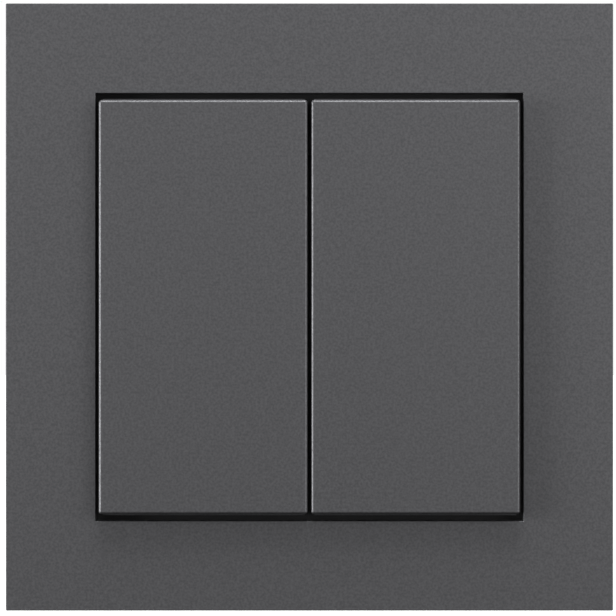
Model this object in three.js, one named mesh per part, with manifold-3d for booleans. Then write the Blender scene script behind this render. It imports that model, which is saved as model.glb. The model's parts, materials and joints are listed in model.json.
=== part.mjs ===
// A flush double rocker switch for a 60 mm wall box, in millimetres.
// The wall is the plane y = 0: the room is at negative y, the wall box at positive y, and z is up.
// The mechanism's left half is its right half given half a turn about the y axis, so every piece
// that comes once per half is drawn on the right, at positive x.

import * as THREE from 'three';
import { mergeVertices } from 'three/addons/utils/BufferGeometryUtils.js';
import Module from 'manifold-3d';

const wasm = await Module();
wasm.setup();

// ---------------------------------------------------------------- driving dimensions

const REST = 0.1; // gap between pieces that bear on each other
const FIT = 0.3; // gap between pieces that fit into each other
const PAST = 1; // how far a cutting tool runs past the face that it cuts
const WIDE = [-100, 100]; // a stretch wider than the switch

const plate = {
  width: 84,
  corner: 0.15,
  front: -8,
  skin: 2,
  rim: 1.6,
  opening: 59.2,
  lip: 1.2,
  lipBack: -4.1,
  ribThickness: 1,
  ribAt: [-20, 0, 20],
  pegRadius: 1.5,
  pegAt: 34.5,
  pegBack: -2.3,
};

const rocker = {
  gap: 0.5,
  width: 28.8,
  height: 57.1,
  corner: 0.4,
  edge: 0.38,
  front: -10.6,
  skin: 1.4,
  wall: 1.2,
  back: -5.9,
  ribX: [20, 24],
  ribDepth: 1.5,
  ribThickness: 1,
  padZ: 5,
  footFront: -6.8,
  footReach: 0.3,
};

// The hooks inside a rocker, in pairs about the middle of its toggle.
const hook = { spread: 4, width: 3.6, thickness: 1, reach: 0.7, barb: 1 };

const carrier = {
  width: 77,
  corner: 2,
  front: -3.8,
  back: -3,
  windowWidth: 53.6,
  windowHeight: 42.4,
  legX: 9,
  legZ: 25.2,
  legWidth: 6.6,
  legThickness: 1.4,
  legBack: 1.8,
  barb: 0.8,
};

const frame = {
  width: 71,
  clip: 7,
  front: -1.2,
  back: 0,
  windowWidth: 35,
  windowHeight: 29.2,
  screwPitch: 60,
  slotWidth: 4.2,
  slotLength: 9,
  seatWidth: 6.2,
  seatLength: 12,
  seatDepth: 0.3,
  cornerHoleAt: 24.5,
  cornerHoleRadius: 1.7,
  notchAt: 16,
  notchWidth: 3,
  notchDepth: 1.5,
  flangeLength: 24,
  flangeHeight: 1.3,
  flangeThickness: 1,
};

const housing = {
  width: 37.2,
  height: 44,
  clip: 5,
  wall: 1.2,
  front: frame.back + REST,
  frontPlate: 1.5,
  back: 22,
  flangeWidth: 38.6,
  flangeHeight: 43,
  flangeFront: -2.9,
  wellHalfWidth: 17.1,
  wellHalfHeight: 14.2,
  wellWall: 1,
  wellFloor: 3,
  wellBack: 4.2,
  divider: 0.6,
  plungerSwing: 0.8,
};

// The walls inside the housing body, and the ribs outside it that guide the claws.
const chamber = {
  rivetBoreBack: 5.1,
  dividerThickness: 1.4,
  crossAt: 7.2,
  crossThickness: 1.2,
  crossFront: 14.4,
  backingAt: 17.4,
  backingFront: 10,
};
const guideRib = { z: 6.6, thickness: 1, height: 1.2 };

const cover = { front: housing.back + REST, back: 26, pocketFloor: 23.4 };
const latch = { x: 9, width: 5, front: 17.6, back: 19.8, inner: 19.3, outer: 20.5, barb: 21.6 };
const stripGauge = { width: 2.4, length: 11, depth: 0.5 };
const ejectorMark = { radius: 1.2, depth: 0.15, plateX: [10, 30], coverX: 14, coverZ: 18.2, middleZ: 19 };
const rivet = { x: 12.5, z: 17.8, radius: 1.1, headRadius: 2, headHeight: 0.7, tailRadius: 1.7 };

const pivot = { y: -1, shaftRadius: 1, boreRadius: 1.3 };
const poleX = 8.35; // middle of one switch mechanism

const toggle = {
  width: 14.7,
  headWidth: 13,
  headFront: -6.2,
  headBack: -4.6,
  headHalfHeight: 9.5,
  hubRadius: 3,
  tubeRadius: 3,
  tubeBore: 2.3,
  boreFloor: 1,
  tubeBack: 6.6,
};

const plunger = { radius: 2, bore: 1.45, back: 3.2, shoulder: 7.7, tip: 9.4, boreEnd: 8.1 };
const plungerSpring = { radius: 1, wire: 0.2, turns: 6, from: 1.35, to: 7.75 };

const lever = { pivotY: 11, y: 10.4, dish: 0.3, halfLength: 9.4, flat: 2.5, thickness: 0.8, width: 5 };
const contact = { z: 8, radius: 1.2, thickness: 0.7, fixedFront: 12.3 };

const strip = { thickness: 0.8, width: 8.4, back: 21.6 };
const wire = { x: 3, z: 14.5, holeRadius: 1.5, funnelRadius: 1.95, funnelDepth: 0.8, strip: 1.6 };
const testSlot = { width: 1.4, from: -1.1, to: 0.7 };
const crank = { from: 13.4, to: 14.6 }; // the bend of a common terminal

// A clamp's leaf spring: it presses on the wire at its tip and leans on the wall at its heel.
const clamp = {
  thickness: 0.35,
  width: 8,
  tip: { y: 15.6, across: -0.8 },
  shoulder: { y: 20.4, across: 2.9 },
  bend: { y: 20.2, across: 4.2, radius: 1.2 },
  heel: { y: 14.8, across: 5.4 },
};

// A release lever's comb; its arms and blades are placed across each wire row.
const comb = {
  barX: [14.2, 16.2],
  barZ: [-12.2, 12.2],
  back: 26.9,
  thickness: 1.2,
  armFrom: 2.6,
  armTo: 4.3,
  bladeFront: 22.5,
  bladeWidth: 2.3,
  bladeFrom: 2.1,
  bladeTo: 2.9,
  play: 0.25,
};

const claw = {
  x: 20.55,
  y: 3,
  angle: 22,
  length: 18.5,
  thickness: 0.9,
  halfHeight: 3.8,
  hubRadius: 1.6,
  slotStart: 2.4,
  barbStart: 16.3,
  barbPeak: 18,
  barbReach: 1.5,
};
const clawPin = { radius: 0.8, bore: 1.1, halfLength: 5.6 };
const clawScrew = { x: 24, radius: 1.5, headRadius: 2.6, headHeight: 1.4, back: 23.4, chamfer: 0.6 };
const crossRecess = { length: 3.2, width: 0.7, depth: 0.9 };
const clawNut = { y: 19.9, depth: 2.4, halfWidth: 2.4, halfHeight: 3.4 };
const ear = { inner: 18.9, outer: 22.2, from: 4.2, to: 5.2, window: 5.2 };

// The three wire rows of one half: the row's height, and the side of the wire that its strip is on.
const rows = [
  { z: wire.z, side: 1 },
  { z: 0, side: -1 },
  { z: -wire.z, side: -1 },
];

// ---------------------------------------------------------------- finishes

const finishes = {
  lacquer: { color: 0x58585a, roughness: 0.55, metalness: 0.1 },
  blackPlastic: { color: 0x17181a, roughness: 0.6, metalness: 0 },
  darkPlastic: { color: 0x2a2c2f, roughness: 0.55, metalness: 0 },
  greyPlastic: { color: 0xbfc1c0, roughness: 0.5, metalness: 0 },
  whitePlastic: { color: 0xe2e0da, roughness: 0.45, metalness: 0 },
  orangePlastic: { color: 0xd8701f, roughness: 0.4, metalness: 0 },
  zincSteel: { color: 0xb4b8bd, roughness: 0.4, metalness: 1 },
  springSteel: { color: 0x8f9398, roughness: 0.3, metalness: 1 },
  copper: { color: 0xb87344, roughness: 0.35, metalness: 1 },
  brass: { color: 0xc2a35a, roughness: 0.35, metalness: 1 },
  silver: { color: 0xdcdcdc, roughness: 0.25, metalness: 1 },
};

// ---------------------------------------------------------------- outlines

/** The stretch of the given width about a middle. */
function span(width, middle = 0) {
  return [middle - width / 2, middle + width / 2];
}

/** Points on a circle, with the angles in quarter turns. */
function arc([middleU, middleV], radius, from, to, steps) {
  return Array.from({ length: steps + 1 }, (_, step) => {
    const angle = ((from + ((to - from) * step) / steps) * Math.PI) / 2;
    return new THREE.Vector2(middleU + radius * Math.cos(angle), middleV + radius * Math.sin(angle));
  });
}

function circle(radius, middle, sides = 24) {
  return new THREE.Shape(arc(middle, radius, 0, 4, sides).slice(1));
}

function roundedRectangle(width, height, corner, [middleX, middleZ] = [0, 0], steps = 3) {
  const x = width / 2 - corner;
  const z = height / 2 - corner;
  const corners = [
    [middleX + x, middleZ + z],
    [middleX - x, middleZ + z],
    [middleX - x, middleZ - z],
    [middleX + x, middleZ - z],
  ];
  return new THREE.Shape(
    corners.flatMap((middle, quarter) => arc(middle, corner, quarter, quarter + 1, steps)),
  );
}

/** A rectangle whose corners are cut off at 45 degrees. */
function clippedRectangle(width, height, clip) {
  const x = width / 2;
  const z = height / 2;
  const points = [
    [x, z - clip],
    [x - clip, z],
    [clip - x, z],
    [-x, z - clip],
    [-x, clip - z],
    [clip - x, -z],
    [x - clip, -z],
    [x, clip - z],
  ];
  return new THREE.Shape(points.map(([u, v]) => new THREE.Vector2(u, v)));
}

/** The outline of a strip of sheet metal that follows a bent middle line. */
function ribbon(middleLine, thickness) {
  const points = middleLine.map(([u, v]) => new THREE.Vector2(u, v));
  const normals = points.slice(1).map((point, i) => {
    const along = point.clone().sub(points[i]).normalize();
    return new THREE.Vector2(-along.y, along.x);
  });
  const oneSide = [];
  const otherSide = [];
  points.forEach((point, i) => {
    const before = normals[Math.max(i - 1, 0)];
    const after = normals[Math.min(i, normals.length - 1)];
    const mitre = before.clone().add(after).normalize();
    const reach = thickness / 2 / mitre.dot(before);
    oneSide.push(point.clone().addScaledVector(mitre, reach));
    otherSide.unshift(point.clone().addScaledVector(mitre, -reach));
  });
  return new THREE.Shape([...oneSide, ...otherSide]);
}

// ---------------------------------------------------------------- solids

function block([x0, x1], [y0, y1], [z0, z1]) {
  const box = new THREE.BoxGeometry(x1 - x0, y1 - y0, z1 - z0);
  return box.translate((x0 + x1) / 2, (y0 + y1) / 2, (z0 + z1) / 2);
}

function extrusion(outline, depth, holes = []) {
  outline.holes = holes;
  return new THREE.ExtrudeGeometry(outline, { depth, bevelEnabled: false });
}

/** An outline in x and z, extruded from y = front to y = back. */
function slab(outline, front, back, holes) {
  return extrusion(outline, back - front, holes).rotateX(Math.PI / 2).translate(0, back, 0);
}

/** A slab whose front edges are rounded; the outline is that of its front face. */
function softSlab(outline, front, back, edge, edgeSteps) {
  const rounded = new THREE.ExtrudeGeometry(outline, {
    depth: back - front,
    bevelSize: edge,
    bevelThickness: edge,
    bevelSegments: edgeSteps,
  });
  rounded.rotateX(Math.PI / 2).translate(0, back + edge, 0);
  return cut(rounded, block(WIDE, [back, back + 2 * edge + PAST], WIDE));
}

/** An outline in x and y, extruded along z. */
function upright(outline, [bottom, top]) {
  return extrusion(outline, top - bottom).translate(0, 0, bottom);
}

/** An outline in y and z, extruded along x. */
function crossways(outline, [left, right]) {
  const alongX = new THREE.Matrix4().makeBasis(
    new THREE.Vector3(0, 1, 0),
    new THREE.Vector3(0, 0, 1),
    new THREE.Vector3(1, 0, 0),
  );
  return extrusion(outline, right - left).applyMatrix4(alongX).translate(left, 0, 0);
}

/** A rod along one axis; `middle` is its place on the other two, and its far end may be wider. */
function rod(axis, radius, [from, to], [a, b], { sides = 24, farRadius = radius } = {}) {
  const geometry = new THREE.CylinderGeometry(farRadius, radius, to - from, sides);
  const middle = (from + to) / 2;
  if (axis === 'x') {
    return geometry.rotateZ(-Math.PI / 2).translate(middle, a, b);
  }
  if (axis === 'z') {
    return geometry.rotateX(Math.PI / 2).translate(a, b, middle);
  }
  return geometry.translate(a, middle, b);
}

/** A turned piece about the y axis, from its [radius, y] profile. */
function turned(profile, sides) {
  return new THREE.LatheGeometry(
    profile.map(([radius, y]) => new THREE.Vector2(radius, y)),
    sides,
  );
}

function toSolid(geometry) {
  const bare = geometry.clone();
  bare.deleteAttribute('normal');
  bare.deleteAttribute('uv');
  const merged = mergeVertices(bare);
  return new wasm.Manifold(
    new wasm.Mesh({
      numProp: 3,
      vertProperties: merged.attributes.position.array,
      triVerts: new Uint32Array(merged.index.array),
    }),
  );
}

function toGeometry(solid) {
  const { vertProperties, triVerts } = solid.getMesh();
  const geometry = new THREE.BufferGeometry();
  geometry.setAttribute('position', new THREE.BufferAttribute(vertProperties, 3));
  geometry.setIndex(new THREE.BufferAttribute(triVerts, 1));
  geometry.computeVertexNormals();
  return geometry;
}

function join(first, ...others) {
  return toGeometry(others.reduce((solid, other) => solid.add(toSolid(other)), toSolid(first)));
}

function cut(body, ...tools) {
  return toGeometry(tools.reduce((solid, tool) => solid.subtract(toSolid(tool)), toSolid(body)));
}

/** A geometry of the right half, and the same for the left half. */
function bothHalves(geometry) {
  return [geometry, geometry.clone().rotateY(Math.PI)];
}

/** A geometry, and its three copies a quarter turn apart about the y axis. */
function fourQuarters(geometry) {
  return [0, 1, 2, 3].map((quarter) => geometry.clone().rotateY((quarter * Math.PI) / 2));
}

/** The four points (x, z), (-x, z), (-x, -z) and (x, -z). */
function fourCorners(x, z) {
  return [
    [x, z],
    [-x, z],
    [-x, -z],
    [x, -z],
  ];
}

// ---------------------------------------------------------------- plate and rockers

function surroundPlate() {
  const inside = plate.front + plate.skin;
  const pocket = plate.width - 2 * plate.rim;
  const lip = plate.opening + 2 * plate.lip;
  const shell = cut(
    slab(roundedRectangle(plate.width, plate.width, plate.corner), plate.front, 0),
    block(span(pocket), [inside, PAST], span(pocket)),
  );
  const collar = block(span(lip), [inside - REST, plate.lipBack], span(lip));
  const pegs = fourCorners(plate.pegAt, plate.pegAt).map((corner) =>
    rod('y', plate.pegRadius, [inside - REST, plate.pegBack], corner),
  );
  const ribs = plate.ribAt.flatMap((z) =>
    fourQuarters(
      block([lip / 2 - REST, pocket / 2 + REST], [inside - REST, inside + 1], span(plate.ribThickness, z)),
    ),
  );
  const marks = ejectorMark.plateX.flatMap((x) =>
    fourCorners(x, plate.pegAt).map((middle) =>
      rod('y', ejectorMark.radius, [inside - ejectorMark.depth, inside + REST], middle),
    ),
  );
  return cut(
    join(shell, collar, ...pegs, ...ribs),
    block(span(plate.opening), [plate.front - PAST, PAST], span(plate.opening)),
    ...marks,
  );
}

/** The black frame behind the plate's lip, with four snap legs that pass through the support frame. */
function plateCarrier() {
  const sheet = slab(
    roundedRectangle(carrier.width, carrier.width, carrier.corner),
    carrier.front,
    carrier.back,
    [
      roundedRectangle(carrier.windowWidth, carrier.windowHeight, carrier.corner),
      ...fourCorners(plate.pegAt, plate.pegAt).map((corner) => circle(plate.pegRadius + FIT, corner)),
    ],
  );
  const legs = [1, -1].flatMap((side) =>
    [1, -1].flatMap((end) => {
      const x = span(carrier.legWidth, side * carrier.legX);
      const outer = carrier.legZ + carrier.legThickness / 2;
      const thickness = span(carrier.legThickness, end * carrier.legZ);
      const post = block(x, [carrier.front, carrier.legBack], thickness);
      const barbOutline = new THREE.Shape([
        new THREE.Vector2(frame.back + FIT, end * (outer - REST)),
        new THREE.Vector2(frame.back + FIT, end * (outer + carrier.barb)),
        new THREE.Vector2(carrier.legBack, end * (outer - REST)),
      ]);
      return [post, crossways(barbOutline, x)];
    }),
  );
  return join(sheet, ...legs);
}

/**
 * The right rocker: a shallow cap with a foot along its upper and lower edge, and with hooks that
 * snap under the ends of its toggle's head.
 */
function rockerCap() {
  const middle = (rocker.gap + rocker.width) / 2;
  const inside = rocker.front + rocker.skin;
  const face = roundedRectangle(
    rocker.width - 2 * rocker.edge,
    rocker.height - 2 * rocker.edge,
    rocker.corner - rocker.edge,
    [middle, 0],
  );
  const feet = block(
    span(rocker.width - 2 * rocker.corner, middle),
    [rocker.footFront, rocker.back],
    span(rocker.height + 2 * rocker.footReach),
  );
  const shell = cut(
    join(softSlab(face, rocker.front, rocker.back, rocker.edge, 6), feet),
    block(
      span(rocker.width - 2 * rocker.wall, middle),
      [inside, rocker.back + PAST],
      span(rocker.height - 2 * rocker.wall),
    ),
  );
  const hooks = [1, -1].flatMap((end) =>
    [-1, 1].flatMap((side) => {
      const x = span(hook.width, poleX + side * hook.spread);
      const inner = toggle.headHalfHeight + FIT;
      const outer = inner + hook.thickness;
      const outline = [
        [inside - REST, inner],
        [inside - REST, outer],
        [toggle.headBack + hook.barb, outer],
        [toggle.headBack + FIT, inner - hook.reach],
        [toggle.headBack + FIT, inner],
      ];
      return crossways(new THREE.Shape(outline.map(([y, z]) => new THREE.Vector2(y, end * z))), x);
    }),
  );
  const pads = [-rocker.padZ, rocker.padZ].map((z) =>
    block(
      span(toggle.headWidth - 1, poleX),
      [inside - REST, toggle.headFront - REST],
      span(rocker.ribThickness, z),
    ),
  );
  const longRibs = rocker.ribX.map((x) =>
    block(
      span(rocker.ribThickness, x),
      [inside - REST, inside + rocker.ribDepth],
      span(rocker.height - rocker.wall),
    ),
  );
  return join(shell, ...hooks, ...pads, ...longRibs);
}

// ---------------------------------------------------------------- support frame and claws

function supportFrame() {
  const pitch = frame.screwPitch / 2;
  const round = frame.slotWidth / 2 - 0.05;
  const holes = [
    roundedRectangle(frame.windowWidth, frame.windowHeight, 1),
    ...[-pitch, pitch].map((x) => roundedRectangle(frame.slotWidth, frame.slotLength, round, [x, 0])),
    ...[-pitch, pitch].map((z) => roundedRectangle(frame.slotLength, frame.slotWidth, round, [0, z])),
    ...fourCorners(carrier.legX, carrier.legZ).map((middle) =>
      roundedRectangle(carrier.legWidth + 2 * FIT, carrier.legThickness + 2 * FIT, 0.3, middle, 1),
    ),
    ...fourCorners(rivet.x, rivet.z).map((middle) => circle(rivet.radius + FIT, middle)),
    ...fourCorners(frame.cornerHoleAt, frame.cornerHoleAt).map((middle) =>
      circle(frame.cornerHoleRadius, middle),
    ),
    ...[-1, 1].map((side) => circle(clawScrew.radius + FIT, [side * clawScrew.x, 0])),
    ...fourCorners((ear.inner + ear.outer) / 2, ear.to + ear.window / 2 + FIT).map((middle) =>
      roundedRectangle(ear.outer - ear.inner, ear.window, 0.3, middle, 1),
    ),
  ];
  const outline = clippedRectangle(frame.width, frame.width, frame.clip);
  const sheet = slab(outline, frame.front, frame.back, holes);
  const edge = frame.width / 2;
  const notches = [-frame.notchAt, frame.notchAt].flatMap((z) =>
    fourQuarters(
      block([edge - frame.notchDepth, edge + PAST], [frame.front - PAST, PAST], span(frame.notchWidth, z)),
    ),
  );
  const seats = [0, 1, 2, 3].map((quarter) => {
    const footprint = roundedRectangle(frame.seatWidth, frame.seatLength, 2, [pitch, 0]);
    const seat = slab(footprint, frame.front - PAST, frame.front + frame.seatDepth);
    return seat.rotateY((quarter * Math.PI) / 2);
  });
  const flanges = [-1, 1].map((end) =>
    block(
      span(frame.flangeLength),
      [frame.front - frame.flangeHeight, frame.back],
      span(frame.flangeThickness, end * (edge - frame.flangeThickness / 2)),
    ),
  );
  const earRadius = (ear.outer - ear.inner) / 2;
  const earOutline = () =>
    new THREE.Shape([
      new THREE.Vector2(ear.outer, (frame.front + frame.back) / 2),
      ...arc([claw.x, claw.y], earRadius, 0, 2, 6),
      new THREE.Vector2(ear.inner, (frame.front + frame.back) / 2),
    ]);
  const ears = [upright(earOutline(), [ear.from, ear.to]), upright(earOutline(), [-ear.to, -ear.from])];
  const pinBore = rod('z', clawPin.bore, span(2 * ear.to + 2 * PAST), [claw.x, claw.y]);
  return cut(
    join(sheet, ...flanges, ...ears.flatMap(bothHalves)),
    ...seats,
    ...notches,
    ...bothHalves(pinBore),
  );
}

/** The right claw, straight along y with its pivot at the origin: a fork with barbed prongs. */
function clawFork() {
  const slot = span(2 * (clawScrew.radius + FIT + REST));
  const half = claw.thickness / 2;
  const height = span(2 * claw.halfHeight);
  const arm = block([-half, half], [0, claw.length], height);
  const hub = rod('z', claw.hubRadius, height, [0, 0]);
  const barb = new THREE.Shape([
    new THREE.Vector2(0, claw.barbStart),
    new THREE.Vector2(half, claw.barbStart),
    new THREE.Vector2(half + claw.barbReach, claw.barbPeak),
    new THREE.Vector2(half, claw.length),
    new THREE.Vector2(0, claw.length),
  ]);
  return cut(
    join(arm, hub, upright(barb, height)),
    rod('z', clawPin.bore, span(2 * claw.halfHeight + 2 * PAST), [0, 0]),
    block(WIDE, [claw.slotStart, claw.length + PAST], slot),
  );
}

/** A pan-head screw along y with its axis at the origin and a cross recess. */
function clawScrewShape() {
  const { radius, headRadius, headHeight, back, chamfer } = clawScrew;
  const headBack = frame.front - REST;
  const headFront = headBack - headHeight;
  const screw = turned(
    [
      [0, headFront],
      [headRadius - chamfer, headFront],
      [headRadius, headFront + chamfer],
      [headRadius, headBack],
      [radius, headBack],
      [radius, back - chamfer],
      [radius - chamfer, back],
      [0, back],
    ],
    16,
  );
  const recess = [headFront - PAST, headFront + crossRecess.depth];
  const long = span(crossRecess.length);
  const narrow = span(crossRecess.width);
  return cut(screw, block(long, recess, narrow), block(narrow, recess, long));
}

function clawNutShape() {
  return cut(
    block(span(2 * clawNut.halfWidth), [0, clawNut.depth], span(2 * clawNut.halfHeight)),
    rod('y', clawScrew.radius + FIT, [-PAST, clawNut.depth + PAST], [0, 0]),
  );
}

// ---------------------------------------------------------------- housing

/** The front housing: a flange before the support frame, and a well for each toggle. */
function housingFront() {
  const wellX = [housing.divider, housing.wellHalfWidth - housing.wellWall];
  const wellZ = span(2 * (housing.wellHalfHeight - housing.wellWall));
  const flange = slab(
    roundedRectangle(housing.flangeWidth, housing.flangeHeight, 2),
    housing.flangeFront,
    frame.front - REST,
  );
  const tub = block(
    span(2 * housing.wellHalfWidth),
    [housing.flangeFront, housing.wellBack],
    span(2 * housing.wellHalfHeight),
  );
  const well = block(wellX, [housing.flangeFront - PAST, housing.wellFloor], wellZ);
  const plungerSlot = block(
    span(2 * (toggle.tubeRadius + FIT), poleX),
    [0, housing.wellBack + PAST],
    span(2 * (toggle.tubeRadius + housing.plungerSwing)),
  );
  const shaftBore = rod('x', pivot.boreRadius, span(2 * housing.wellHalfWidth + 2 * PAST), [pivot.y, 0]);
  return cut(
    join(flange, tub),
    ...bothHalves(well),
    ...bothHalves(plungerSlot),
    shaftBore,
    ...rivetBores(),
  );
}

function rivetBores() {
  return fourCorners(rivet.x, rivet.z).map((middle) =>
    rod('y', rivet.radius + FIT, [housing.flangeFront - PAST, chamber.rivetBoreBack], middle, {
      sides: 12,
    }),
  );
}

/** The housing body: a ring of walls behind the support frame, split into contact chambers. */
function housingBody() {
  const innerWidth = housing.width - 2 * housing.wall;
  const innerHeight = housing.height - 2 * housing.wall;
  const walls = slab(
    clippedRectangle(housing.width, housing.height, housing.clip),
    housing.front,
    housing.back,
  );
  const cavity = slab(
    clippedRectangle(innerWidth, innerHeight, housing.clip - 0.5),
    housing.front + housing.frontPlate,
    housing.back + PAST,
  );
  const doorway = block(
    span(innerWidth),
    [housing.front - PAST, housing.front + housing.frontPlate + PAST],
    span(2 * (housing.wellHalfHeight + FIT)),
  );
  const divider = block(
    span(chamber.dividerThickness),
    [housing.wellBack + 2 * FIT, housing.back],
    span(innerHeight + REST),
  );
  const crossWalls = [-chamber.crossAt, chamber.crossAt].map((z) =>
    block(span(innerWidth + REST), [chamber.crossFront, housing.back], span(chamber.crossThickness, z)),
  );
  const backingWalls = [-chamber.backingAt, chamber.backingAt].map((z) =>
    block(span(innerWidth - 2 * FIT), [chamber.backingFront, housing.back], span(1, z)),
  );
  const guideRibs = fourCorners(housing.width / 2, guideRib.z).map(([x, z]) =>
    block(span(2 * guideRib.height, x), [housing.front, housing.back], span(guideRib.thickness, z)),
  );
  const latchWindows = fourCorners(latch.x, housing.height / 2).map(([x, z]) =>
    block(span(latch.width + 2 * FIT, x), [latch.front - FIT, latch.back + FIT], span(3, z)),
  );
  return cut(
    join(cut(join(walls, ...guideRibs), cavity, doorway), divider, ...crossWalls, ...backingWalls),
    ...latchWindows,
    ...rivetBores(),
  );
}

/** A height in a wire row, `across` mm away from the wire on the side where its spring is. */
function rowHeight(row, across) {
  return row.z - row.side * across;
}

/** A stretch across a wire row, in z. */
function rowSpan(row, from, to) {
  return [rowHeight(row, from), rowHeight(row, to)].sort((a, b) => a - b);
}

/** The rear cover: wire entries, test slots, pockets for the release levers, and four latches. */
function rearCover() {
  const body = slab(
    clippedRectangle(housing.width, housing.height, housing.clip),
    cover.front,
    cover.back,
  );
  const latches = fourCorners(latch.x, 1).flatMap(([x, end]) => {
    const tongue = [
      [cover.front + REST, latch.inner],
      [latch.front, latch.inner],
      [latch.front, latch.outer],
      [latch.back, latch.barb],
      [latch.back, latch.outer],
      [cover.front + REST, latch.outer],
    ];
    const outline = new THREE.Shape(tongue.map(([y, z]) => new THREE.Vector2(y, end * z)));
    return crossways(outline, span(latch.width, x));
  });
  const through = [cover.front - PAST, cover.back + PAST];
  const bladeSlot = span(comb.bladeWidth + 2 * comb.play, poleX);
  const rowCuts = rows.flatMap((row) => {
    const entries = [-wire.x, wire.x].flatMap((x) => {
      const middle = [poleX + x, row.z];
      return [
        rod('y', wire.holeRadius, through, middle),
        rod('y', wire.holeRadius, [cover.back - wire.funnelDepth, cover.back + 0.01], middle, {
          farRadius: wire.funnelRadius,
        }),
      ];
    });
    return [
      ...entries,
      block(span(testSlot.width, poleX), through, rowSpan(row, testSlot.from, testSlot.to)),
      block(
        bladeSlot,
        through,
        rowSpan(row, comb.bladeFrom - comb.play, comb.bladeTo + comb.play),
      ),
      block(
        [bladeSlot[0], comb.barX[1]],
        [cover.pocketFloor, cover.back + PAST],
        rowSpan(row, comb.armFrom - comb.play, comb.armTo + FIT),
      ),
    ];
  });
  const barPocket = block(
    [comb.barX[0] - FIT, comb.barX[1] + FIT],
    [cover.pocketFloor, cover.back + PAST],
    [comb.barZ[0] - FIT, comb.barZ[1] + FIT],
  );
  const gauge = block(
    span(stripGauge.width),
    [cover.back - stripGauge.depth, cover.back + PAST],
    span(stripGauge.length),
  );
  const marks = [
    ...fourCorners(ejectorMark.coverX, ejectorMark.coverZ),
    [0, ejectorMark.middleZ],
    [0, -ejectorMark.middleZ],
  ].map((middle) =>
    rod('y', ejectorMark.radius, [cover.back - ejectorMark.depth, cover.back + PAST], middle),
  );
  return cut(join(body, ...latches), gauge, ...marks, ...[...rowCuts, barPocket].flatMap(bothHalves));
}

/** The right release lever: a comb whose three blades each open one clamp spring. */
function releaseLever() {
  const depth = [comb.back - comb.thickness, comb.back];
  const blade = span(comb.bladeWidth, poleX);
  const bar = block(comb.barX, depth, comb.barZ);
  const fingers = rows.flatMap((row) => [
    block([blade[0], comb.barX[0] + REST], depth, rowSpan(row, comb.armFrom, comb.armTo)),
    block(blade, [comb.bladeFront, comb.back], rowSpan(row, comb.bladeFrom, comb.bladeTo)),
  ]);
  return join(bar, ...fingers);
}

/** A rivet along y with its axis at the origin, through flange, support frame and housing body. */
function rivetShape() {
  const front = housing.flangeFront - REST;
  const back = housing.front + housing.frontPlate + REST;
  const { radius, headRadius, headHeight, tailRadius } = rivet;
  return turned(
    [
      [0, front - headHeight],
      [headRadius * 0.6, front - headHeight],
      [headRadius, front - headHeight * 0.4],
      [headRadius, front],
      [radius, front],
      [radius, back],
      [tailRadius, back],
      [tailRadius, back + headHeight * 0.6],
      [0, back + headHeight],
    ],
    16,
  );
}

// ---------------------------------------------------------------- toggle and plunger

/** The right toggle, about its pivot axis: a head for the rocker, a hub, and the plunger's tube. */
function toggleShape() {
  const x = span(toggle.width, poleX);
  const head = block(
    span(toggle.headWidth, poleX),
    [toggle.headFront, toggle.headBack],
    span(2 * toggle.headHalfHeight),
  );
  const web = block(x, [toggle.headBack - REST, pivot.y], span(4));
  const hub = rod('x', toggle.hubRadius, x, [pivot.y, 0]);
  const tube = rod('y', toggle.tubeRadius, [pivot.y, toggle.tubeBack], [poleX, 0]);
  return cut(
    join(head, web, hub, tube),
    rod('x', pivot.boreRadius, [x[0] - PAST, x[1] + PAST], [pivot.y, 0]),
    rod('y', toggle.tubeBore, [toggle.boreFloor, toggle.tubeBack + PAST], [poleX, 0]),
  );
}

/** A hollow plunger with a round nose, about the y axis. */
function plungerShape() {
  const steps = 4;
  const nose = arc([0, plunger.shoulder], 1, 0, 1, steps).map(({ x, y }) => [
    x * plunger.radius,
    plunger.shoulder + (y - plunger.shoulder) * (plunger.tip - plunger.shoulder),
  ]);
  return turned(
    [
      [0, plunger.boreEnd],
      [plunger.bore, plunger.boreEnd],
      [plunger.bore, plunger.back],
      [plunger.radius, plunger.back],
      ...nose.slice(0, -1),
      [0, plunger.tip],
    ],
    16,
  );
}

class Helix extends THREE.Curve {
  constructor(radius, turns, from, to) {
    super();
    Object.assign(this, { radius, turns, from, to });
  }

  getPoint(t, target = new THREE.Vector3()) {
    const angle = 2 * Math.PI * this.turns * t;
    const y = this.from + (this.to - this.from) * t;
    return target.set(this.radius * Math.cos(angle), y, this.radius * Math.sin(angle));
  }
}

function coilSpring({ radius, wire: wireRadius, turns, from, to }) {
  return new THREE.ExtrudeGeometry(circle(wireRadius, [0, 0], 6), {
    steps: turns * 10,
    extrudePath: new Helix(radius, turns, from, to),
    bevelEnabled: false,
  });
}

// ---------------------------------------------------------------- contacts and terminals

/** The see-saw contact lever, a shallow dish across its fulcrum. */
function contactLever() {
  const line = [
    [lever.y - lever.dish, -lever.halfLength],
    [lever.y, -lever.flat],
    [lever.y, lever.flat],
    [lever.y - lever.dish, lever.halfLength],
  ];
  return crossways(ribbon(line, lever.thickness), span(lever.width, poleX));
}

/** A contact rivet on the right half, `front` being its face's y. */
function contactButton(front, z) {
  return rod('y', contact.radius, [front, front + contact.thickness], [poleX, z], { sides: 12 });
}

/** An upper or lower throw terminal: a seat for the fixed contact, bent into the wire's strip. */
function throwTerminal(row) {
  const seat = contact.fixedFront + contact.thickness + REST + strip.thickness / 2;
  const stripZ = rowHeight(row, -wire.strip);
  const line = [
    [seat, Math.sign(row.z) * (contact.z - contact.radius)],
    [seat, stripZ],
    [strip.back, stripZ],
  ];
  return crossways(ribbon(line, strip.thickness), span(strip.width, poleX));
}

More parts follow.
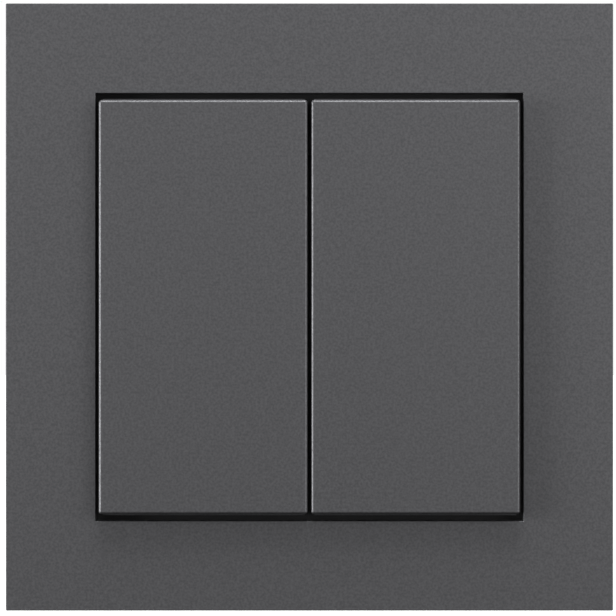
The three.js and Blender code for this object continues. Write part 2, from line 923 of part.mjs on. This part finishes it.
/** The common terminal: the fulcrum's blade, cranked into the wire's strip. */
function commonTerminal() {
  const stripZ = rowHeight(rows[1], -wire.strip);
  const line = [
    [lever.pivotY + REST, 0],
    [crank.from, 0],
    [crank.to, stripZ],
    [strip.back, stripZ],
  ];
  return crossways(ribbon(line, strip.thickness), span(lever.width, poleX));
}

/** A hairpin leaf spring that presses the wires of one row onto their strip. */
function clampSpring(row) {
  const { tip, shoulder, bend, heel } = clamp;
  const bendPoints = arc([bend.y, bend.across], bend.radius, -0.6, 1, 5).slice(1);
  const line = [
    [tip.y, tip.across],
    [shoulder.y, shoulder.across],
    ...bendPoints.map(({ x: y, y: across }) => [y, across]),
    [heel.y, heel.across],
  ];
  const outline = ribbon(
    line.map(([y, across]) => [y, rowHeight(row, across)]),
    clamp.thickness,
  );
  return crossways(outline, span(clamp.width, poleX));
}

// ---------------------------------------------------------------- the scene

const rockerSwitch = new THREE.Group();

function addPiece(parent, name, geometry, finish, place = [0, 0, 0]) {
  const mesh = new THREE.Mesh(geometry, new THREE.MeshStandardMaterial(finish));
  mesh.name = name;
  mesh.position.set(...place);
  parent.add(mesh);
  return mesh;
}

addPiece(rockerSwitch, 'surround_plate', surroundPlate(), finishes.lacquer);
addPiece(rockerSwitch, 'plate_carrier', plateCarrier(), finishes.blackPlastic);
addPiece(rockerSwitch, 'support_frame', supportFrame(), finishes.zincSteel);
addPiece(rockerSwitch, 'housing_front', housingFront(), finishes.blackPlastic);
addPiece(rockerSwitch, 'housing_body', housingBody(), finishes.darkPlastic);
addPiece(rockerSwitch, 'rear_cover', rearCover(), finishes.greyPlastic);
addPiece(
  rockerSwitch,
  'pivot_shaft',
  rod('x', pivot.shaftRadius, span(2 * housing.wellHalfWidth), [pivot.y, 0], { sides: 12 }),
  finishes.springSteel,
);
fourCorners(rivet.x, rivet.z).forEach(([x, z]) => {
  const corner = `${z > 0 ? 'upper' : 'lower'}_${x > 0 ? 'right' : 'left'}`;
  addPiece(rockerSwitch, `frame_rivet_${corner}`, rivetShape(), finishes.springSteel, [x, 0, z]);
});

/** One half of the mechanism, with its rocker, in a group that the left half gets turned. */
function addHalf(side) {
  const half = new THREE.Group();
  half.rotation.y = side === 'left' ? Math.PI : 0;
  rockerSwitch.add(half);
  const add = (name, geometry, finish, place) => addPiece(half, name, geometry, finish, place);
  const level = (z) => ((side === 'left' ? -z : z) > 0 ? 'upper' : 'lower');

  add(`rocker_${side}`, rockerCap(), finishes.lacquer);
  add(`toggle_${side}`, toggleShape(), finishes.whitePlastic);
  add(`plunger_${side}`, plungerShape(), finishes.brass, [poleX, 0, 0]);
  add(`plunger_spring_${side}`, coilSpring(plungerSpring), finishes.springSteel, [poleX, 0, 0]);

  add(`contact_lever_${side}`, contactLever(), finishes.copper);
  add(`common_terminal_${side}`, commonTerminal(), finishes.brass);
  const leverBack = lever.y + lever.thickness / 2;
  for (const row of rows.filter(({ z }) => z !== 0)) {
    const z = Math.sign(row.z) * contact.z;
    const where = `${side}_${level(z)}`;
    add(`moving_contact_${where}`, contactButton(leverBack, z), finishes.silver);
    add(`fixed_contact_${where}`, contactButton(contact.fixedFront, z), finishes.silver);
    add(`throw_terminal_${where}`, throwTerminal(row), finishes.brass);
    add(`clamp_spring_${where}`, clampSpring(row), finishes.springSteel);
  }
  add(`clamp_spring_${side}_common`, clampSpring(rows[1]), finishes.springSteel);
  add(`release_lever_${side}`, releaseLever(), finishes.orangePlastic);

  const pinPlace = [claw.x, claw.y, 0];
  const fork = add(`claw_${side}`, clawFork(), finishes.zincSteel, pinPlace);
  fork.rotation.z = -THREE.MathUtils.degToRad(claw.angle);
  add(
    `claw_pin_${side}`,
    rod('z', clawPin.radius, span(2 * clawPin.halfLength), [0, 0], { sides: 16 }),
    finishes.springSteel,
    pinPlace,
  );
  add(`claw_screw_${side}`, clawScrewShape(), finishes.zincSteel, [clawScrew.x, 0, 0]);
  add(`claw_nut_${side}`, clawNutShape(), finishes.zincSteel, [clawScrew.x, clawNut.y, 0]);
}

addHalf('left');
addHalf('right');

export default rockerSwitch;
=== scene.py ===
"""The looks of a flush double rocker switch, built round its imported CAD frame, in metres.

The room is at negative y and the wall box at positive y; z is up.
"""

import json
import math

import bmesh
import bpy
from mathutils import Matrix, Vector


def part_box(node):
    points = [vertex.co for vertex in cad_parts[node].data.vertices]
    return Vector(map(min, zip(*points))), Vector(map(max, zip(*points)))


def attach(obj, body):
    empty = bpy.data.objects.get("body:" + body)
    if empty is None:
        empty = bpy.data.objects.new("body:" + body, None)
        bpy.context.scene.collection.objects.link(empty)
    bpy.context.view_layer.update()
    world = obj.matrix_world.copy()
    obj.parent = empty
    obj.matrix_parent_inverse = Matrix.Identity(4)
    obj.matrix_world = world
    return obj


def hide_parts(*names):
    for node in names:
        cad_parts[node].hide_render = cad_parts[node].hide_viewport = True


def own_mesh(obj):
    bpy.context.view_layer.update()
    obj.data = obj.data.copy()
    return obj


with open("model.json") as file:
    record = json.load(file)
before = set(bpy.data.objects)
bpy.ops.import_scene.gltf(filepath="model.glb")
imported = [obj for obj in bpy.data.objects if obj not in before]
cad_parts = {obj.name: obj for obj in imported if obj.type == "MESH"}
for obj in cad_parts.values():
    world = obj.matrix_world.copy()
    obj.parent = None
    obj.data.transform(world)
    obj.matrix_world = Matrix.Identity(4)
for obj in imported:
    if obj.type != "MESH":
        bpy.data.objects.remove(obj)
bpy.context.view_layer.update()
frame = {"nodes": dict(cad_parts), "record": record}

MM = 0.001
WELD = 0.001 * MM  # points closer than this are one point
SIDES = ("left", "right")
FULL_TURN = 2 * math.pi


# ---------------------------------------------------------------- node trees


def add_node(tree, kind, inputs=None, **settings):
    """A shader node with its settings and inputs; an input is a value or another node's output."""
    node = tree.nodes.new(kind)
    for name, value in settings.items():
        setattr(node, name, value)
    for name, value in (inputs or {}).items():
        if isinstance(value, bpy.types.NodeSocket):
            tree.links.new(value, node.inputs[name])
        else:
            node.inputs[name].default_value = value
    return node


def object_position(tree, stretch=(1, 1, 1)):
    """The point on the object in millimetres, stretched along its axes."""
    place = add_node(tree, "ShaderNodeTexCoord")
    scale = [1 / MM * s for s in stretch]
    return add_node(
        tree, "ShaderNodeMapping", {"Vector": place.outputs["Object"], "Scale": scale}
    ).outputs["Vector"]


def noise(tree, position, per_mm, detail=2.0, roughness=0.5):
    """Noise from 0 to 1, with about per_mm grains in a millimetre."""
    node = add_node(
        tree,
        "ShaderNodeTexNoise",
        {"Vector": position, "Scale": per_mm, "Detail": detail, "Roughness": roughness},
    )
    return node.outputs["Fac"]


def remap(tree, value, low, high, from_low=0.3, from_high=0.7):
    """value, spread from its usual range to low .. high."""
    node = add_node(
        tree,
        "ShaderNodeMapRange",
        {
            "Value": value,
            "From Min": from_low,
            "From Max": from_high,
            "To Min": low,
            "To Max": high,
        },
    )
    return node.outputs["Result"]


def mix_colours(tree, factor, first, second):
    """A colour from first, where factor is 0, to second, where it is 1."""
    node = add_node(
        tree, "ShaderNodeMix", {"Factor": factor}, data_type="RGBA", clamp_factor=True
    )
    for socket, value in (("A_Color", first), ("B_Color", second)):
        target = next(i for i in node.inputs if i.identifier == socket)
        if isinstance(value, bpy.types.NodeSocket):
            tree.links.new(value, target)
        else:
            target.default_value = (*value, 1)
    return next(o for o in node.outputs if o.identifier == "Result_Color")


def bump(tree, height, strength, depth_mm):
    """A surface normal that follows height, over a relief of depth_mm."""
    inputs = {"Height": height, "Strength": strength, "Distance": depth_mm * MM}
    return add_node(tree, "ShaderNodeBump", inputs).outputs["Normal"]


def finish_material(name, inputs):
    """A new material; inputs(tree) makes the inputs of its Principled shader."""
    material = bpy.data.materials.new(name)
    material.use_nodes = True
    tree = material.node_tree
    tree.nodes.clear()
    shader_inputs = inputs(tree)
    shader = add_node(tree, "ShaderNodeBsdfPrincipled", shader_inputs)
    add_node(tree, "ShaderNodeOutputMaterial", {"Surface": shader.outputs["BSDF"]})
    return material


# ---------------------------------------------------------------- materials


def anthracite_lacquer():
    """Matt metallic anthracite lacquer with a fine dark and light speckle and a slight grain."""

    def inputs(tree):
        position = object_position(tree)
        speckle = noise(tree, position, per_mm=3.1, detail=1.0)
        grain = noise(tree, position, per_mm=8.0, detail=1.0)
        dark = (0.0848, 0.0848, 0.0890)
        light = (0.1152, 0.1152, 0.1210)
        return {
            "Base Color": mix_colours(tree, remap(tree, speckle, 0, 1), dark, light),
            "Metallic": 0.85,
            "Roughness": remap(tree, grain, 0.46, 0.54),
            "IOR": 1.5,
            "Normal": bump(tree, grain, strength=0.35, depth_mm=0.02),
        }

    return finish_material("anthracite_lacquer", inputs)


def moulded_plastic(name, colour, roughness):
    """Moulded plastic with a fine eroded texture and faint flow clouds."""

    def inputs(tree):
        position = object_position(tree)
        texture = noise(tree, position, per_mm=2.5, detail=3.0, roughness=0.6)
        flow = noise(tree, position, per_mm=0.12, detail=2.0)
        lighter = tuple(min(1, 1.05 * c + 0.002) for c in colour)
        darker = tuple(0.96 * c for c in colour)
        return {
            "Base Color": mix_colours(tree, remap(tree, flow, 0, 1), darker, lighter),
            "Roughness": remap(tree, texture, roughness - 0.06, roughness + 0.08),
            "IOR": 1.48,
            "Normal": bump(tree, texture, strength=0.25, depth_mm=0.03),
        }

    return finish_material(name, inputs)


def zinc_plated_steel():
    """Bright zinc plating on rolled sheet: rolling lines, cloudy passivation, dulled patches."""

    def inputs(tree):
        rolled = object_position(tree, stretch=(0.06, 1, 1))
        lines = noise(tree, rolled, per_mm=5.0, detail=3.0, roughness=0.65)
        clouds = noise(tree, object_position(tree), per_mm=0.18, detail=4.0, roughness=0.6)
        cool = (0.60, 0.63, 0.67)
        warm = (0.70, 0.68, 0.62)
        return {
            "Base Color": mix_colours(tree, remap(tree, clouds, 0, 1), cool, warm),
            "Metallic": 1.0,
            "Roughness": remap(tree, lines, 0.26, 0.42),
            "Normal": bump(tree, lines, strength=0.12, depth_mm=0.01),
        }

    return finish_material("zinc_plated_steel", inputs)


def bright_metal(name, colour, tarnish, roughness):
    """Drawn or stamped metal with fine draw lines and a slight tarnish."""

    def inputs(tree):
        drawn = object_position(tree, stretch=(1, 0.1, 1))
        lines = noise(tree, drawn, per_mm=6.0, detail=2.0, roughness=0.6)
        clouds = noise(tree, object_position(tree), per_mm=0.4, detail=3.0)
        return {
            "Base Color": mix_colours(tree, remap(tree, clouds, 0, 0.6), colour, tarnish),
            "Metallic": 1.0,
            "Roughness": remap(tree, lines, roughness - 0.05, roughness + 0.08),
            "Normal": bump(tree, lines, strength=0.1, depth_mm=0.01),
        }

    return finish_material(name, inputs)


def pale_floor():
    """A nearly white studio floor with faint clouds, which glows a little so that it stays white."""

    def inputs(tree):
        clouds = noise(tree, object_position(tree), per_mm=0.02, detail=2.0)
        pale = (0.84, 0.84, 0.84)
        paler = (0.87, 0.87, 0.87)
        return {
            "Base Color": mix_colours(tree, remap(tree, clouds, 0, 1), pale, paler),
            "Roughness": 0.8,
            "Emission Color": (1, 1, 1, 1),
            "Emission Strength": 0.5,
        }

    return finish_material("pale_floor", inputs)


materials = {
    "anthracite_lacquer": anthracite_lacquer(),
    "zinc_steel": zinc_plated_steel(),
}

PLASTICS = (  # name, colour, roughness
    ("black_plastic", (0.012, 0.012, 0.013), 0.5),
    ("dark_plastic", (0.026, 0.028, 0.031), 0.48),
    ("grey_plastic", (0.50, 0.51, 0.50), 0.42),
    ("white_plastic", (0.72, 0.70, 0.65), 0.38),
    ("orange_plastic", (0.72, 0.17, 0.015), 0.36),
)
METALS = (  # name, colour, tarnish, roughness
    ("spring_steel", (0.50, 0.52, 0.54), (0.38, 0.38, 0.38), 0.25),
    ("copper", (0.80, 0.38, 0.22), (0.50, 0.24, 0.15), 0.3),
    ("brass", (0.75, 0.56, 0.24), (0.52, 0.38, 0.18), 0.3),
    ("silver", (0.86, 0.85, 0.82), (0.62, 0.60, 0.56), 0.22),
)
for plastic in PLASTICS:
    materials[plastic[0]] = moulded_plastic(*plastic)
for metal in METALS:
    materials[metal[0]] = bright_metal(*metal)

slot_of = {s["node"]: s["material_slot"] for s in frame["record"]["subparts"]}


# ---------------------------------------------------------------- mesh helpers


def new_piece(name, bm, body, slot, *nodes):
    """A mesh piece that rides on a CAD body in place of some CAD nodes."""
    mesh = bpy.data.meshes.new(name)
    bmesh.ops.recalc_face_normals(bm, faces=bm.faces)
    bm.to_mesh(mesh)
    bm.free()
    mesh.shade_smooth()
    piece = bpy.data.objects.new(name, mesh)
    bpy.context.scene.collection.objects.link(piece)
    mesh.materials.append(materials[slot])
    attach(piece, body)
    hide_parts(*nodes)
    return piece


def even_normals(piece):
    """Keeps flat faces flat beside small rounded edges."""
    modifier = piece.modifiers.new("even_normals", "WEIGHTED_NORMAL")
    modifier.keep_sharp = True
    modifier.weight = 100


def loft(bm, rings):
    """Quads from ring to ring, and a flat face at each end."""
    rows = [[bm.verts.new(point) for point in ring] for ring in rings]
    for row, following in zip(rows, rows[1:]):
        for i in range(len(row)):
            j = (i + 1) % len(row)
            bm.faces.new((row[i], row[j], following[j], following[i]))
    bm.faces.new(rows[0])
    bm.faces.new(reversed(rows[-1]))


# ---------------------------------------------------------------- springs and screws

SHARP_EDGE = math.radians(50)


def coil_spring(side):
    """The plunger's spring: a round wire whose end turns lie close together."""
    node = f"plunger_spring_{side}"
    low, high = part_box(node)
    wire = 0.2 * MM
    coil = (high.x - low.x) / 2 - wire
    middle = (low + high) / 2
    turns = 7
    dead_turns = 1
    dead_pitch = 2.1 * wire
    steps_per_turn = 24
    sides = 10
    steps = turns * steps_per_turn
    rise = high.y - low.y - 2 * wire
    dead_rise = dead_pitch * dead_turns
    live_rise = rise - 2 * dead_rise

    def height(turn):
        if turn < dead_turns:
            return dead_rise * turn / dead_turns
        if turn > turns - dead_turns:
            return rise - dead_rise * (turns - turn) / dead_turns
        return dead_rise + live_rise * (turn - dead_turns) / (turns - 2 * dead_turns)

    rings = []
    for step in range(steps + 1):
        turn = step / steps_per_turn
        angle = FULL_TURN * turn
        outward = Vector((math.cos(angle), 0, math.sin(angle)))
        along_y = Vector((0, 1, 0))
        centre = Vector((middle.x, low.y + wire + height(turn), middle.z)) + coil * outward
        round_wire = [FULL_TURN * i / sides for i in range(sides)]
        rings.append(
            [centre + wire * (math.cos(a) * outward + math.sin(a) * along_y) for a in round_wire]
        )
    bm = bmesh.new()
    loft(bm, rings)
    spring = new_piece(f"{node}_coil", bm, f"rocker_{side}", "spring_steel", node)
    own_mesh(spring)


def carve(bm, cutter):
    """bm with the closed shape cutter taken out of it."""
    scratch = []
    for part in (bm, cutter):
        bmesh.ops.recalc_face_normals(part, faces=part.faces)
        mesh = bpy.data.meshes.new("scratch")
        part.to_mesh(mesh)
        scratch.append(bpy.data.objects.new("scratch", mesh))
        bpy.context.scene.collection.objects.link(scratch[-1])
    carving = scratch[0].modifiers.new("carving", "BOOLEAN")
    carving.operation = "DIFFERENCE"
    carving.solver = "EXACT"
    carving.object = scratch[1]
    graph = bpy.context.evaluated_depsgraph_get()
    carved = bpy.data.meshes.new_from_object(scratch[0].evaluated_get(graph))
    bm.clear()
    bm.from_mesh(carved)
    bmesh.ops.remove_doubles(bm, verts=bm.verts, dist=WELD)
    bmesh.ops.dissolve_degenerate(bm, edges=bm.edges, dist=WELD)
    cutter.free()
    bpy.data.meshes.remove(carved)
    for part in scratch:
        mesh = part.data
        bpy.data.objects.remove(part)
        bpy.data.meshes.remove(mesh)


def recess_blade(place, width, depth, turn):
    """One tapered blade of a cross recess in a screw's head; it starts in front of the head."""
    thickness = 0.7 * MM
    mouth_share = 1.1
    toe_width_share = 0.45
    toe_thickness_share = 0.8
    front_share = 0.3
    bm = bmesh.new()
    for vertex in bmesh.ops.create_cube(bm, size=1)["verts"]:
        deep = vertex.co.y > 0
        corner = Vector(
            (
                vertex.co.x * width * (toe_width_share if deep else mouth_share),
                depth if deep else -front_share * depth,
                vertex.co.z * thickness * (toe_thickness_share if deep else mouth_share),
            )
        )
        vertex.co = place + Matrix.Rotation(turn, 3, "Y") @ corner
    return bm


def ring_about(place, y, sides, radius_at):
    """The points of a ring about an axis along y; the radius may change round it."""
    points = []
    for i in range(sides):
        angle = FULL_TURN * i / sides
        radius = radius_at(angle)
        points.append(
            Vector((place.x + radius * math.cos(angle), y, place.z + radius * math.sin(angle)))
        )
    return points


def claw_screw(side):
    """A claw's screw: pan head with a cross recess, plain neck, and a real thread to its tip."""
    node = f"claw_screw_{side}"
    low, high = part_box(node)
    middle = (low + high) / 2
    front = low.y
    tip = high.y
    head = (high.x - low.x) / 2
    head_height = 1.4 * MM
    head_edge = 0.1 * MM
    crown = 0.5 * MM
    recess_width = 2.9 * MM
    recess_depth = 1.0 * MM
    shank = 1.5 * MM
    chamfer = 0.6 * MM
    pitch = 0.5 * MM
    thread_depth = 0.26 * MM
    thread_start = front + 7 * MM
    sides = 32
    rings_per_turn = 8

    rings = []
    dome_steps = 8
    for step in range(1, dome_steps + 1):
        angle = math.pi / 2 * step / dome_steps
        rings.append((front + crown * (1 - math.cos(angle)), head * math.sin(angle)))
    rings += [
        (front + head_height - head_edge, head),
        (front + head_height, head - head_edge),
        (front + head_height, shank),
        (thread_start, shank),
    ]
    rings = [ring_about(middle, y, sides, lambda angle, r=r: r) for y, r in rings]
    steps = round((tip - thread_start) / pitch * rings_per_turn)
    for step in range(1, steps + 1):
        y = thread_start + (tip - thread_start) * step / steps
        depth = thread_depth * min(1, step / rings_per_turn)
        core = shank - max(0, chamfer - (tip - y))

        def thread(angle, y=y, depth=depth, core=core):
            phase = ((y - thread_start) / pitch - angle / FULL_TURN) % 1
            groove = 1 - abs(2 * phase - 1)
            return max(shank - chamfer - thread_depth, core - depth * groove)

        rings.append(ring_about(middle, y, sides, thread))
    bm = bmesh.new()
    loft(bm, rings)
    head_middle = Vector((middle.x, front, middle.z))
    for turn in (0, math.pi / 2):
        carve(bm, recess_blade(head_middle, recess_width, recess_depth, turn))
    screw = new_piece(f"{node}_threaded", bm, node, "zinc_steel", node)
    screw.data.set_sharp_from_angle(angle=SHARP_EDGE)


# ---------------------------------------------------------------- carried-over CAD nodes

# Rounding of the edges, by the start of a node's name.
EDGE_MM = {
    "surround_plate": 0.08,
    "plate_carrier": 0.15,
    "support_frame": 0.12,
    "housing_front": 0.2,
    "housing_body": 0.3,
    "rear_cover": 0.3,
    "claw": 0.1,
    "release_lever": 0.2,
}
OTHER_EDGE_MM = 0.08
FLAT_FACE = math.radians(0.05)
ROUNDED_EDGE = math.radians(38)


def dress_node(name):
    """Merges a CAD node's facets into flat faces, rounds its edges and gives it its material."""
    node = frame["nodes"][name]
    mesh = node.data
    if "custom_normal" in mesh.attributes:
        mesh.attributes.remove(mesh.attributes["custom_normal"])
    mesh.shade_smooth()
    weld = node.modifiers.new("weld", "WELD")
    weld.merge_threshold = WELD
    merge = node.modifiers.new("merge_facets", "DECIMATE")
    merge.decimate_type = "DISSOLVE"
    merge.angle_limit = FLAT_FACE
    widths = (w for start, w in EDGE_MM.items() if name.startswith(start))
    bevel = node.modifiers.new("round_edges", "BEVEL")
    bevel.width = next(widths, OTHER_EDGE_MM) * MM
    # The short edges in the plate's sharp corners would else hold back all its rounding.
    bevel.use_clamp_overlap = name != "surround_plate"
    bevel.segments = 3
    bevel.limit_method = "ANGLE"
    bevel.angle_limit = ROUNDED_EDGE
    even_normals(node)
    mesh.materials.clear()
    mesh.materials.append(materials[slot_of[name]])


for node_name in frame["nodes"]:
    dress_node(node_name)
for side in SIDES:
    coil_spring(side)
    claw_screw(side)


# ---------------------------------------------------------------- floor, lights and camera

plate_low, plate_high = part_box("surround_plate")
FLOOR_REACH = 4.0
FLOOR_BELOW = 20 * MM


def make_floor():
    """A floor a little below the plate, seen by the camera only."""
    bm = bmesh.new()
    bmesh.ops.create_grid(bm, x_segments=1, y_segments=1, size=FLOOR_REACH)
    mesh = bpy.data.meshes.new("floor")
    bm.to_mesh(mesh)
    bm.free()
    mesh.materials.append(pale_floor())
    floor = bpy.data.objects.new("floor", mesh)
    floor.location.z = plate_low.z - FLOOR_BELOW
    bpy.context.scene.collection.objects.link(floor)
    floor.visible_diffuse = False
    floor.visible_glossy = False


# Soft light from all round: (direction, sharpness, strength) of each broad patch of it.
ROOM_LIGHT = (
    ((0.0, -1.0, 0.2), 1, 0.10),
    ((0.0, -0.6, 0.8), 3, 0.70),
    ((-1.0, -0.1, 0.0), 6, 2.2),
    ((0.0, 1.0, 0.7), 2, 1.6),
)

# Square lamps that face the switch: (name, place, size, power).
LAMPS = (
    ("top", (0.0, -0.17, 0.36), 0.15, 1.6),
    ("left", (-0.36, -0.17, 0.0), 0.15, 1.9),
    ("right", (0.32, -0.32, 0.05), 0.30, 1.35),
    ("back_fill", (0.5, 0.7, 0.5), 0.60, 4.0),
)


def make_world():
    """A room that looks white to the camera and lights the switch as ROOM_LIGHT says."""
    world = bpy.data.worlds.new("studio")
    bpy.context.scene.world = world
    world.use_nodes = True
    tree = world.node_tree
    tree.nodes.clear()
    direction = add_node(tree, "ShaderNodeTexCoord").outputs["Generated"]
    level = None
    for towards, sharpness, strength in ROOM_LIGHT:
        facing = add_node(
            tree,
            "ShaderNodeVectorMath",
            {0: direction, 1: Vector(towards).normalized()},
            operation="DOT_PRODUCT",
        ).outputs["Value"]
        lit = add_node(
            tree, "ShaderNodeMath", {0: facing, 1: 0.0}, operation="MAXIMUM"
        ).outputs["Value"]
        patch = add_node(
            tree, "ShaderNodeMath", {0: lit, 1: sharpness}, operation="POWER"
        ).outputs["Value"]
        level = add_node(
            tree,
            "ShaderNodeMath",
            {0: patch, 1: strength, 2: level if level else 0.0},
            operation="MULTIPLY_ADD",
        ).outputs["Value"]
    light = add_node(tree, "ShaderNodeBackground", {"Color": (1, 1, 1, 1), "Strength": level})
    white = add_node(tree, "ShaderNodeBackground", {"Color": (1, 1, 1, 1), "Strength": 1.0})
    seen = add_node(tree, "ShaderNodeLightPath").outputs["Is Camera Ray"]
    both = add_node(
        tree,
        "ShaderNodeMixShader",
        {0: seen, 1: light.outputs["Background"], 2: white.outputs["Background"]},
    )
    add_node(tree, "ShaderNodeOutputWorld", {"Surface": both.outputs["Shader"]})


def area_light(name, place, size, power):
    """A soft square light that faces the object."""
    data = bpy.data.lights.new(name, "AREA")
    data.size = size
    data.energy = power
    lamp = bpy.data.objects.new(name, data)
    lamp.location = place
    lamp.rotation_mode = "QUATERNION"
    lamp.rotation_quaternion = Vector(place).to_track_quat("Z", "Y")
    bpy.context.scene.collection.objects.link(lamp)


def make_camera():
    """A long lens straight before the plate, as far away as the plate's share of the width asks."""
    lens = 300
    sensor = 36
    width_share = 0.986
    aside = -0.2 * MM
    above = -0.13 * MM
    plate_width = plate_high.x - plate_low.x
    distance = plate_width / width_share * lens / sensor
    data = bpy.data.cameras.new("camera")
    data.lens = lens
    data.sensor_width = sensor
    data.clip_start = 0.01
    data.clip_end = 20
    camera = bpy.data.objects.new("camera", data)
    camera.location = (aside, plate_low.y - distance, above)
    camera.rotation_euler = (math.pi / 2, 0, 0)
    bpy.context.scene.collection.objects.link(camera)
    bpy.context.scene.camera = camera


make_floor()
make_world()
for lamp in LAMPS:
    area_light(*lamp)
make_camera()
bpy.context.scene.view_settings.view_transform = "Standard"
